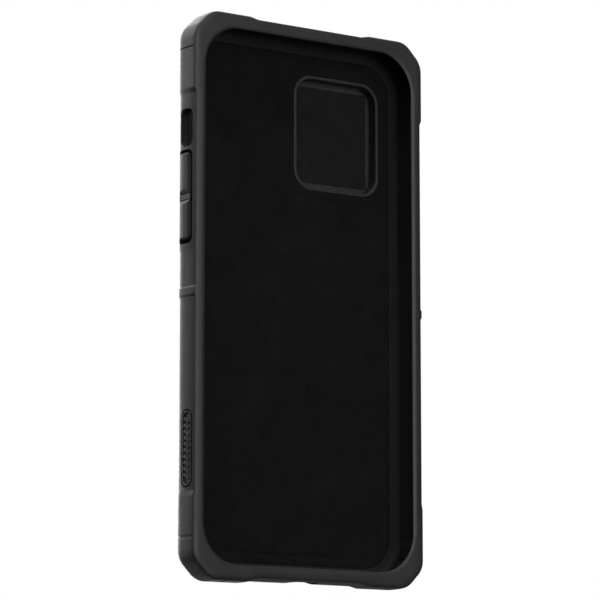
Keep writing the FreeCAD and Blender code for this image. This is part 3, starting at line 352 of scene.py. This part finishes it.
def finished(name, node):
    """A new piece that stands for the node, with softened edges. The node
    itself is left exactly as it came."""
    me = node.data.copy()
    me.name = name + "_finished"
    o = bpy.data.objects.new(name + "_finished", me)
    bpy.context.scene.collection.objects.link(o)
    me.materials.clear()
    me.materials.append(MATERIAL[name])
    for p in me.polygons:
        p.material_index = 0
    bpy.context.view_layer.objects.active = o
    o.select_set(True)
    bpy.ops.mesh.customdata_custom_splitnormals_clear()
    o.select_set(False)
    me.shade_smooth()
    if name == "bumper_frame":
        crisp_steps(me)
    w = o.modifiers.new("weld", "WELD")
    w.merge_threshold = 2e-6
    d = o.modifiers.new("tidy", "DECIMATE")
    d.decimate_type = "DISSOLVE"
    d.angle_limit = math.radians(0.4)
    d.delimit = {"SHARP"}
    b = o.modifiers.new("edges", "BEVEL")
    b.width = BEVEL[name] * MM
    b.segments = 2
    b.limit_method = "ANGLE"
    b.angle_limit = math.radians(28)
    b.use_clamp_overlap = True
    n = o.modifiers.new("normals", "WEIGHTED_NORMAL")
    n.weight = 60 if "_key" not in name else 50
    n.keep_sharp = True
    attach(o, BODY[name])
    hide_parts(name)
    return o


for name, node in frame["nodes"].items():
    if name in BEVEL:
        finished(name, node)
    else:
        for s in node.material_slots:
            s.material = MATERIAL[name]


# -------------------------------------------------------------- soft sheets
def outline_loop(hw, hh, r, arc=9, nx=14, nz=34, cx=0.0, cz=0.0):
    """Rounded rectangle as evenly stepped (x, z) points, mm."""
    pts = []
    corners = ((hw - r, hh - r, 0), (-(hw - r), hh - r, 90),
               (-(hw - r), -(hh - r), 180), (hw - r, -(hh - r), 270))
    for i, (x, z, a0) in enumerate(corners):
        for k in range(arc + 1):
            a = math.radians(a0 + 90.0 * k / arc)
            pts.append((cx + x + r * math.cos(a), cz + z + r * math.sin(a)))
        nxt = corners[(i + 1) % 4]
        n = nx if i in (0, 2) else nz
        a = math.radians(a0 + 90.0)
        x0, z0 = x + r * math.cos(a), z + r * math.sin(a)
        x1, z1 = nxt[0] + r * math.cos(a), nxt[1] + r * math.sin(a)
        for k in range(1, n):
            t = k / n
            pts.append((cx + x0 + (x1 - x0) * t, cz + z0 + (z1 - z0) * t))
    return pts


def inside_gap(x, z, hw, hh, r, cx, cz):
    """Distance from the rounded rectangle's edge, positive inside it."""
    qx, qz = abs(x - cx) - (hw - r), abs(z - cz) - (hh - r)
    out = math.hypot(max(qx, 0.0), max(qz, 0.0)) + min(max(qx, qz), 0.0)
    return r - out


def cut_sheet(name, outer, hole, front, rear, step, crease, depth, edge,
              swell, seed):
    """A cut piece of cloth lying flat: outer and hole are (hw, hh, r, cx,
    cz). Its face rounds over at the cut edges, carries a pressed line that
    follows them and is not quite level; its back is flat."""
    offs = [0.0, edge * 0.12, edge * 0.5, edge, edge * 2.2,
            crease - 0.55, crease - 0.25, crease, crease + 0.25,
            crease + 0.55]
    pts, rim = [], []

    def add_loops(spec, sign):
        hw, hh, r, cx, cz = spec
        nx = max(4, int(2 * (hw - r) / step))
        nz = max(4, int(2 * (hh - r) / step))
        for k, o in enumerate(offs):
            loop = outline_loop(hw - sign * o, hh - sign * o,
                                max(0.3, r - sign * o), 9, nx, nz, cx, cz)
            if k == 0:
                rim.append(list(range(len(pts), len(pts) + len(loop))))
            pts.extend(loop)

    add_loops(outer, 1)
    if hole:
        add_loops(hole, -1)
    hw, hh, r, cx, cz = outer
    z = cz - hh
    row = 0
    while z <= cz + hh:
        x = cx - hw + (step * 0.5 if row % 2 else 0.0)
        while x <= cx + hw:
            if (inside_gap(x, z, *outer) > offs[-1] + step * 0.5 and
                    (not hole or
                     -inside_gap(x, z, *hole) > offs[-1] + step * 0.5)):
                pts.append((x, z))
            x += step
        z += step * 0.87
        row += 1
    edges = []
    for loop in rim:
        edges += [(loop[i], loop[(i + 1) % len(loop)])
                  for i in range(len(loop))]
    vs, _, fs, _, _, _ = delaunay_2d_cdt([Vector(p) for p in pts], edges,
                                         [], 0, 1e-5)
    wave = Vector((seed * 1.7, seed * 3.1, 0.0))

    def face_depth(x, z):
        s = inside_gap(x, z, *outer)
        if hole:
            s = min(s, -inside_gap(x, z, *hole))
        s = max(s, 0.0)
        d = 0.0
        if s < edge:
            t = 1.0 - s / edge
            d += edge * (1.0 - math.sqrt(max(0.0, 1.0 - t * t)))
        d += depth * math.exp(-((s - crease) / 0.28) ** 2)
        rise = (mnoise.noise(Vector((x, z, 0.0)) * 0.055 + wave) +
                0.4 * mnoise.noise(Vector((x, z, 5.0)) * 0.19 + wave))
        d += swell * (0.5 + 0.5 * max(-1.0, min(1.0, rise))) * min(
            1.0, s / 2.0)
        return front + d

    bm = bmesh.new()
    top, low = [], []
    for v in vs:
        top.append(bm.verts.new(at(v.x, face_depth(v.x, v.y), v.y)))
        low.append(bm.verts.new(at(v.x, rear, v.y)))
    for f in fs:
        mx_ = sum(vs[i].x for i in f) / len(f)
        mz_ = sum(vs[i].y for i in f) / len(f)
        if inside_gap(mx_, mz_, *outer) < 0:
            continue
        if hole and inside_gap(mx_, mz_, *hole) > 0:
            continue
        bm.faces.new([top[i] for i in f])
        bm.faces.new([low[i] for i in reversed(f)])
    bm.edges.ensure_lookup_table()
    # close the sheet round its cut edges
    pair = {t: l for t, l in zip(top, low)}
    for e in [e for e in bm.edges if len(e.link_faces) == 1 and
              e.verts[0] in pair]:
        a, b = e.verts
        loop = e.link_faces[0].loops
        for lp_ in loop:
            if lp_.edge == e:
                a, b = lp_.vert, lp_.link_loop_next.vert
        bm.faces.new((b, a, pair[a], pair[b]))
    loose = [v for v in bm.verts if not v.link_faces]
    bmesh.ops.delete(bm, geom=loose, context="VERTS")
    bmesh.ops.recalc_face_normals(bm, faces=bm.faces)
    me = bpy.data.meshes.new(name)
    bm.to_mesh(me)
    bm.free()
    o = bpy.data.objects.new(name, me)
    scene.collection.objects.link(o)
    for p in me.polygons:
        p.use_smooth = True
    me.set_sharp_from_angle(angle=math.radians(50))
    return o


liner = cut_sheet("liner_cloth", (33.0, 70.9, 9.0, 0.0, -0.3),
                  (14.5, 16.2, 5.9, 15.0, 48.9), 8.95, 9.55,
                  1.9, 2.6, 0.13, 0.3, 0.05, 3)
liner.data.materials.append(LINER)
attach(liner, "root")
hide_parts("inner_liner")

pad = cut_sheet("cover_felt", (12.0, 13.5, 0.9, 15.4, 48.9), None,
                11.95, 12.35, 0.8, 1.5, 0.06, 0.16, 0.04, 8)
pad.data.materials.append(FELT)
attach(pad, "camera_cover")
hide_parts("cover_pad")


# ------------------------------------------------------------ floor, lights
def floor_material():
    m, nt, b = new_material("floor_pale")
    vec = object_coords(nt)
    n = noise(nt, vec, 14.0, 4.0, 0.5)
    nt.links.new(ramp(nt, n, 0.3, 0.7, (0.80, 0.80, 0.80),
                      (0.84, 0.84, 0.84)), b.inputs["Base Color"])
    b.inputs["Roughness"].default_value = 0.85
    b.inputs["Emission Color"].default_value = (1, 1, 1, 1)
    b.inputs["Emission Strength"].default_value = 0.55
    # seen from underneath the floor is clear, because the view looks up
    # from below the level that the case stands on
    geo = nt.nodes.new("ShaderNodeNewGeometry")
    clear = nt.nodes.new("ShaderNodeBsdfTransparent")
    # away from the case the floor fades evenly into the pale backdrop
    far = nt.nodes.new("ShaderNodeEmission")
    far.inputs["Color"].default_value = (1, 1, 1, 1)
    far.inputs["Strength"].default_value = 1.0
    ln = nt.nodes.new("ShaderNodeVectorMath")
    ln.operation = "LENGTH"
    nt.links.new(vec, ln.inputs[0])
    fade = nt.nodes.new("ShaderNodeMixShader")
    nt.links.new(map_range(nt, ln.outputs["Value"], 0.05, 0.30, 0.0, 1.0),
                 fade.inputs[0])
    nt.links.new(b.outputs[0], fade.inputs[1])
    nt.links.new(far.outputs[0], fade.inputs[2])
    mix = nt.nodes.new("ShaderNodeMixShader")
    out = [x for x in nt.nodes if x.type == "OUTPUT_MATERIAL"][0]
    nt.links.new(geo.outputs["Backfacing"], mix.inputs[0])
    nt.links.new(fade.outputs[0], mix.inputs[1])
    nt.links.new(clear.outputs[0], mix.inputs[2])
    nt.links.new(mix.outputs[0], out.inputs[0])
    return m


fm = bpy.data.meshes.new("floor")
s = 3.0
fm.from_pydata([(-s, -s, 0), (s, -s, 0), (s, s, 0), (-s, s, 0)], [],
               [(0, 1, 2, 3)])
floor = bpy.data.objects.new("floor", fm)
scene.collection.objects.link(floor)
floor.location.z = -0.00002
fm.materials.append(floor_material())
# the plane only shows itself and the shade on it; light passes it freely
floor.visible_diffuse = False
floor.visible_glossy = False
floor.visible_transmission = False
floor.visible_shadow = False

world = bpy.data.worlds.new("studio")
scene.world = world
world.use_nodes = True
nt = world.node_tree
nt.nodes.clear()
wo = nt.nodes.new("ShaderNodeOutputWorld")
seen = nt.nodes.new("ShaderNodeBackground")
seen.inputs[0].default_value = (1, 1, 1, 1)
seen.inputs[1].default_value = 1.0
soft = nt.nodes.new("ShaderNodeBackground")
soft.inputs[0].default_value = (1, 1, 1, 1)
soft.inputs[1].default_value = 0.05
lp = nt.nodes.new("ShaderNodeLightPath")
mx = nt.nodes.new("ShaderNodeMixShader")
nt.links.new(lp.outputs["Is Camera Ray"], mx.inputs[0])
nt.links.new(soft.outputs[0], mx.inputs[1])
nt.links.new(seen.outputs[0], mx.inputs[2])
nt.links.new(mx.outputs[0], wo.inputs[0])

CENTRE = at(0, 5.0, 0)


def panel(name, azimuth, elevation, power, size=0.75, dist=1.0):
    """Soft box facing the case, its direction given from the front (0),
    right side (90) or back (180) and by its height in degrees."""
    a, e = math.radians(azimuth), math.radians(elevation)
    d = Vector((math.sin(a) * math.cos(e), -math.cos(a) * math.cos(e),
                math.sin(e)))
    data = bpy.data.lights.new(name, "AREA")
    data.shape = "RECTANGLE"
    data.size = data.size_y = size
    data.energy = power
    o = bpy.data.objects.new(name, data)
    scene.collection.objects.link(o)
    o.location = CENTRE + d * dist
    o.rotation_euler = (-d).to_track_quat("-Z", "Z").to_euler()
    o.visible_camera = False
    return o


panel("box_front", 0, 8, 4.5)
panel("box_front_high", 0, 48, 0.5)
panel("box_back", 180, 8, 6.0)
panel("box_back_left", -135, 8, 0.15)
panel("box_back_left_high", -138, 40, 3.6)
panel("box_left_high", -92, 64, 4.6)
panel("box_top", 0, 90, 5.0)
panel("box_right_high", 90, 60, 0.7)
panel("box_back_right", 156, 14, 6.0)
panel("box_back_right_high", 146, 40, 5.0)
panel("box_back_low", 180, -38, 0.45)
panel("box_back_right_low", 135, -38, 0.28)

scene.view_settings.view_transform = "Standard"
scene.view_settings.look = "None"
scene.view_settings.exposure = 0.0
scene.view_settings.gamma = 1.0
